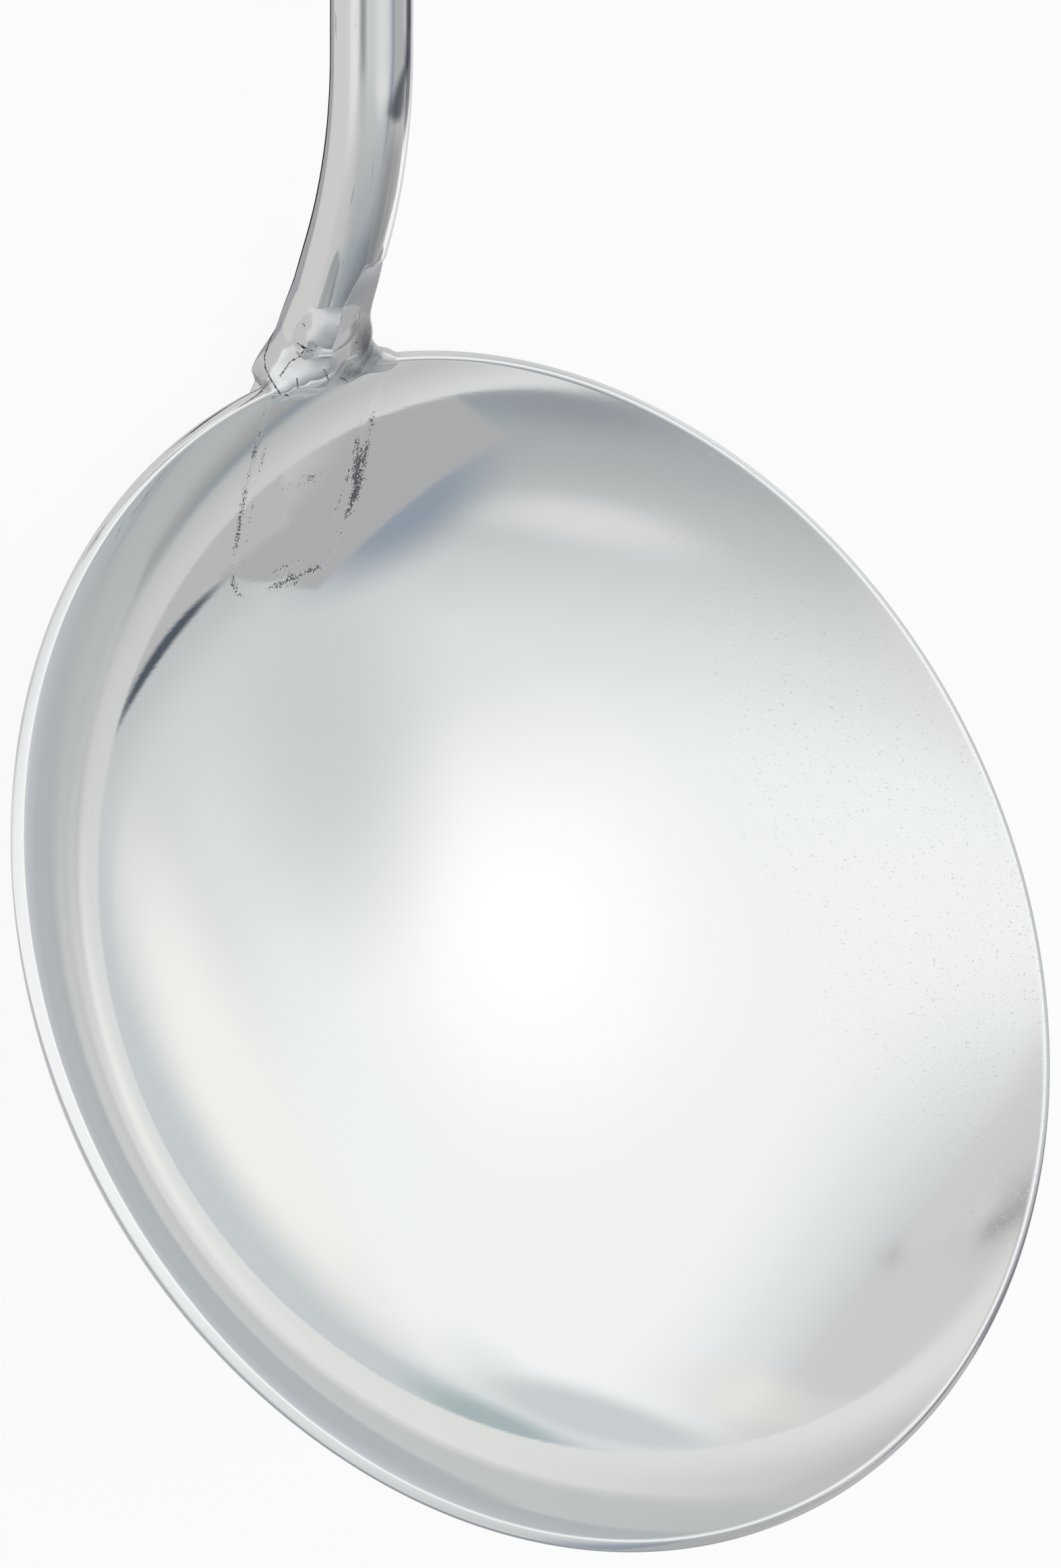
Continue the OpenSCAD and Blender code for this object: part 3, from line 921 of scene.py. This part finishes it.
def spin(profile, turns):
    # closed profile of (radius, height) turned about the axis
    angles = np.linspace(0, 2 * math.pi, turns, endpoint=False)
    points = np.array([(r * math.cos(a), r * math.sin(a), z) for a in angles for r, z in profile])
    return points, joinRings(turns, len(profile), closed=True)


bore = gripRadius - grip["wall"]
mouth = rodRadius + grip["gap"]
wall = grip["wall"]
tubeEnd = grip["nose"] + grip["run"]
tubeProfile = rounded([(mouth, 0, 0.15), (mouth + wall, 0, 0.3), (mouth + wall, grip["collar"], 1.2),
                       (gripRadius, grip["nose"], 3.0), (gripRadius, tubeEnd, 0.12), (bore, tubeEnd, 0.1),
                       (bore, grip["nose"] + wall, 2.0), (mouth, grip["collar"] + wall, 1.0)], 0.2)
points, faces = spin(tubeProfile, grip["turns"])
tubePiece = buildObject("grip_tube_satin", onGrip(points, gripStart), faces, gripSteel,
                        "grip_tube")

holeRadius = grip["holeDiameter"] / 2
holePoints, holeFaces = revolve([(0, -gripRadius * 1.5), (holeRadius, -gripRadius * 1.5),
                                 (holeRadius, gripRadius * 1.5), (0, gripRadius * 1.5)], 64)
holePlace = tubeEnd - grip["holeInset"]
holePoints = np.stack([holePoints[:, 2], holePoints[:, 1], holePlace - holePoints[:, 0]], -1)
cutterMesh = bpy.data.meshes.new("hole_cutter")
cutterMesh.from_pydata(onTable(onGrip(holePoints, gripStart)).tolist(), [], holeFaces)
cutter = bpy.data.objects.new("hole_cutter", cutterMesh)
scene.collection.objects.link(cutter)
drill = tubePiece.modifiers.new("hanging hole", "BOOLEAN")
drill.object = cutter
drill.solver = "EXACT"
bpy.context.view_layer.update()
drilled = bpy.data.meshes.new_from_object(tubePiece.evaluated_get(bpy.context.evaluated_depsgraph_get()))
tubePiece.modifiers.clear()
tubePiece.data = drilled
bpy.data.objects.remove(cutter)
drilled.set_sharp_from_angle(angle=math.radians(grip["tubeSharp"]))

spigot = bore - grip["gap"]
capAngles = np.linspace(0, math.pi / 2, 24)
outside = [(0.0, gripRadius)] + [(gripRadius * math.sin(a), gripRadius * math.cos(a)) for a in capAngles[1:]]
outside += [(spigot, 0.0), (spigot, -grip["spigot"]), (spigot - wall, -grip["spigot"]), (spigot - wall, 2.0)]
outside += [(bore * math.sin(a), bore * math.cos(a)) for a in capAngles[::-1][4:-1]] + [(0.0, bore)]
points, faces = revolve(outside, grip["turns"])
capPiece = buildObject("grip_cap_pressed", onGrip(points, gripEnd), faces, gripSteel,
                       "grip_cap")
capPiece.data.set_sharp_from_angle(angle=math.radians(grip["capSharp"]))

# Studio: a pale floor, and a soft white surround with brighter and darker zones


def fillRamp(ramp, colours, low, high, between):
    # colours is a list of places between low and high, with their hex colours
    ramp.color_ramp.interpolation = between
    stops = ramp.color_ramp.elements
    while len(stops) < len(colours):
        stops.new(1.0)
    for stop, (place, code) in zip(stops, colours):
        stop.position = (place - low) / (high - low)
        stop.color = hexColour(code)


studio = {
    "floorSize": 8.0,
    "floorColour": "#f2f2f2",
    "keepWhite": 0.9,       # share of the floor that shows plain white, the rest takes the shadow
    "mirrorWhite": 0.8,     # the same for the floor as the steel sees it
    "mirrorPower": 0.74,    # and how white that is
    # half size of the floor that the steel sees, and where it fades out for the surround, in parts of that
    "nearReach": (0.26, 0.1),
    "farFade": (0.5, 1.25),
    # painted shadow strips on the floor under the neck, each from this y on: the bar's own shadow, which its
    # lower edge reflects, and only the steel sees them
    "shadowStrips": [(-3.0, "#1d1815"), (0.8, "#aeaeb4"), (6.2, "#cfcfd2")],
    "shadowStripEnd": 7.0,
    "shadowStripAlong": (-142, -76),
}

floorMesh = bpy.data.meshes.new("floor")
half = studio["floorSize"] / 2
floorMesh.from_pydata([(-half, -half, 0), (half, -half, 0), (half, half, 0), (-half, half, 0)], [],
                      [(0, 1, 2, 3)])
floor = bpy.data.objects.new("floor", floorMesh)
scene.collection.objects.link(floor)
floorPaper = bpy.data.materials.new("white background paper")
floorPaper.use_nodes = True
tree = floorPaper.node_tree
tree.nodes.clear()
path = addNode(tree, "LightPath")
direct = addNode(tree, "Math", [path.outputs["Is Camera Ray"], studio["keepWhite"]], operation="MULTIPLY")
mirrored = addNode(tree, "Math", [path.outputs["Is Glossy Ray"], path.outputs["Is Transmission Ray"]],
                   operation="ADD")
share = addNode(tree, "Math", [mirrored, studio["mirrorWhite"], direct], **timesPlus,
                use_clamp=True)
paper = addNode(tree, "BsdfDiffuse", [hexColour(studio["floorColour"])])
power = addNode(tree, "Math", [mirrored, studio["mirrorPower"] - 1, 1.0], **timesPlus)
white = addNode(tree, "Emission", [(1, 1, 1, 1), power])
mixed = addNode(tree, "MixShader", [share, paper, white])
coord = addNode(tree, "TexCoord")
floorAxes = addNode(tree, "SeparateXYZ", [coord.outputs["Object"]])
# the painted shadow strips under the neck, shown to glossy rays only
low, high = studio["shadowStrips"][0][0], studio["shadowStripEnd"]
crossing = addNode(tree, "MapRange", [floorAxes.outputs["Y"], low * mm, high * mm])
paintedShadow = addNode(tree, "ValToRGB", [crossing])
fillRamp(paintedShadow, studio["shadowStrips"], low, high, "CONSTANT")
onPaintedShadow = path.outputs["Is Glossy Ray"]
for axis, (start, end) in (("X", studio["shadowStripAlong"]), ("Y", (low, high))):
    middle, reach = (start + end) / 2 * mm, (end - start) / 2 * mm
    inside = addNode(tree, "Math", [floorAxes.outputs[axis], middle, reach], operation="COMPARE")
    onPaintedShadow = addNode(tree, "Math", [onPaintedShadow, inside], operation="MULTIPLY").outputs[0]
mixed = addNode(tree, "MixShader", [onPaintedShadow, mixed, addNode(tree, "Emission", [paintedShadow, 1.0])])
shrunk = addNode(tree, "VectorMath", [coord.outputs["Object"], (*(1 / k for k in studio["nearReach"]), 1)],
                 operation="MULTIPLY")
away = addNode(tree, "VectorMath", [shrunk], operation="LENGTH")
away = addNode(tree, "MapRange", [away.outputs["Value"], *studio["farFade"]], **smoothly)
gone = addNode(tree, "Math", [away, path.outputs["Is Glossy Ray"]], operation="MULTIPLY")
clear = addNode(tree, "BsdfTransparent")
faded = addNode(tree, "MixShader", [gone, mixed, clear])
addNode(tree, "OutputMaterial", [faded])
floorMesh.materials.append(floorPaper)

# The surround is drawn on a flat map of directions: degrees from overhead, towards +X and +Y.
# Its ground runs from blue-grey behind the bowl, over a broad white bank, to grey beyond the grip.
surround = {
    "gain": 1.25,            # what the steel takes away
    "skew": 0.12,
    "across": (-60, 130),
    "ground": [(-58, "#8f969d"), (-44, "#9fa5aa"), (-30, "#b2b5b8"), (-14, "#c3c6c9"), (0, "#d4d7d9"),
               (12, "#dfe2e4"), (24, "#ebeef0"), (60, "#eef0f2"), (76, "#e3e6e8"), (90, "#d4d7d9"),
               (98, "#c8cbce"), (106, "#b2b6b9"), (125, "#b2b5b8")],
}
# Softer zones over it, on the same map: centre, half size, how soft the edge is, colour, turn, and any that
# isn't round
zones = [
    ((-26, 94), (26, 28), 1.3, "#dededd", 0),
    ((-58, 78), (20, 30), 1.3, "#c0c0c0", 0),
    ((30, -84), (60, 14), 0.9, "#c2c8cc", 0),
    ((26, -68), (18, 7), 1.2, "#eeedeb", 0),
    ((72, -66), (18, 8), 0.8, "#c6cbcf", 0),
    ((34, -22), (12, 15), 2.0, "#ffffff", 0),
    ((-20, 9), (5, 17), 1.4, "#d6d8d9", 0),
    ((-58, 3), (11, 17), 1.2, "#8b9198", 0),
    ((57, -82), (9, 7), 1.0, "#a4b2b6", 0),
    ((105, -45), (22, 9), 1.2, "#e2e1de", 0),
    ((6, -38), (15, 10), 1.8, "#c8cbce", 0),
    ((-50, -88), (20, 24), 0.5, "#f2f2f6", 0),
    ((-26, -78), (9, 18), 0.7, "#7c7c84", -14),
    # a grey panel behind the bowl, with the dark gap along its edge
    ((-22, -22), (17, 8), 1.3, "#8e98a5", -41),
    ((-34, -33), (22, 16), 0.03, "#a9aaac", -41, "square"),
    ((-42, -52), (17, 13), 1.0, "#c0c0bf", 0),
    ((-34, -58), (14, 14), 0.04, "#b4b4b6", 18, "square"),
    ((-16, -61), (10, 1.6), 0.8, "#4c545e", -72),
]

world = bpy.data.worlds.new("studio surround")
scene.world = world
world.use_nodes = True
tree = world.node_tree
tree.nodes.clear()
coord = addNode(tree, "TexCoord")
axes = addNode(tree, "SeparateXYZ", [coord.outputs["Generated"]])
zenith = addNode(tree, "Math", [axes.outputs["Z"]], operation="ARCCOSINE")
degrees = addNode(tree, "Math", [zenith], operation="DEGREES")
heading = addNode(tree, "VectorMath", [coord.outputs["Generated"], (1, 1, 0)], operation="MULTIPLY")
heading = addNode(tree, "VectorMath", [heading], operation="NORMALIZE")
sky = addNode(tree, "VectorMath", {0: heading, "Scale": degrees}, operation="SCALE")
mapped = addNode(tree, "SeparateXYZ", [sky])
skewed = addNode(tree, "Math", [mapped.outputs["Y"], surround["skew"], mapped.outputs["X"]],
                 **timesPlus)
low, high = surround["across"]
position = addNode(tree, "MapRange", [skewed, low, high])
ramp = addNode(tree, "ValToRGB", [position])
fillRamp(ramp, surround["ground"], low, high, "CARDINAL")
light = ramp.outputs["Color"]
for at, half, soft, code, turn, *square in zones:
    placed = addNode(tree, "Mapping", [sky, (*at, 0), (0, 0, math.radians(turn)), (*half, 1)],
                     vector_type="TEXTURE")
    if square:
        sides = addNode(tree, "SeparateXYZ", [addNode(tree, "VectorMath", [placed], operation="ABSOLUTE")])
        distance = addNode(tree, "Math", [sides.outputs["X"], sides.outputs["Y"]], operation="MAXIMUM")
    else:
        distance = addNode(tree, "VectorMath", [placed], operation="LENGTH").outputs["Value"]
    start, end = max(0, 1 - soft / 2), 1 + soft / 2
    mask = addNode(tree, "MapRange", [distance, start, end, 1.0, 0.0], **smoothly)
    light = addNode(tree, "Mix", {0: mask, 6: light, 7: hexColour(code)}, data_type="RGBA").outputs[2]
lit = addNode(tree, "Background", [light, surround["gain"]])
plain = addNode(tree, "Background", [(1, 1, 1, 1), 1.0])
path = addNode(tree, "LightPath")
both = addNode(tree, "MixShader", [path.outputs["Is Camera Ray"], lit, plain])
addNode(tree, "OutputWorld", [both])
print("studio done")

# Camera: seen from the bowl, where the photo's rim ellipse, roll and aim put it
view = {
    "elevation": 51.454,    # above the rim plane
    "azimuth": 96.3,        # from the handle
    "roll": 62.616,
    "distance": 1100.0,
    "aim": (-14.352, 5.2),  # sideways and up from the rim's centre
    "lens": 262.87,
    "sensor": 36.0,
}
elevation, azimuth, roll = (math.radians(view[k]) for k in ("elevation", "azimuth", "roll"))
toward = Vector((math.cos(elevation) * math.cos(azimuth), math.cos(elevation) * math.sin(azimuth),
                 math.sin(elevation)))
sideways = Vector((-math.sin(azimuth), math.cos(azimuth), 0))
target = sideways * view["aim"][0] + toward.cross(sideways) * view["aim"][1]
place = toward * view["distance"]
forward = (target - place).normalized()
levelRight = forward.cross(Vector((0, 0, 1))).normalized()
levelUp = levelRight.cross(forward)
up = levelUp * math.cos(roll) - levelRight * math.sin(roll)
camera = bpy.data.objects.new("camera", bpy.data.cameras.new("camera"))
scene.collection.objects.link(camera)
camera.data.sensor_fit = "VERTICAL"
camera.data.sensor_height = view["sensor"]
camera.data.lens = view["lens"]
tipped = Matrix.Rotation(lean, 4, "Y")
back, up = tipped @ -forward, tipped @ up
camera.matrix_world = Matrix.Translation(Vector(onTable(place))) @ \
    Matrix((up.cross(back), up, back)).transposed().to_4x4()
camera.data.clip_start, camera.data.clip_end = 0.01, 20
scene.camera = camera
scene.view_settings.view_transform = "Standard"
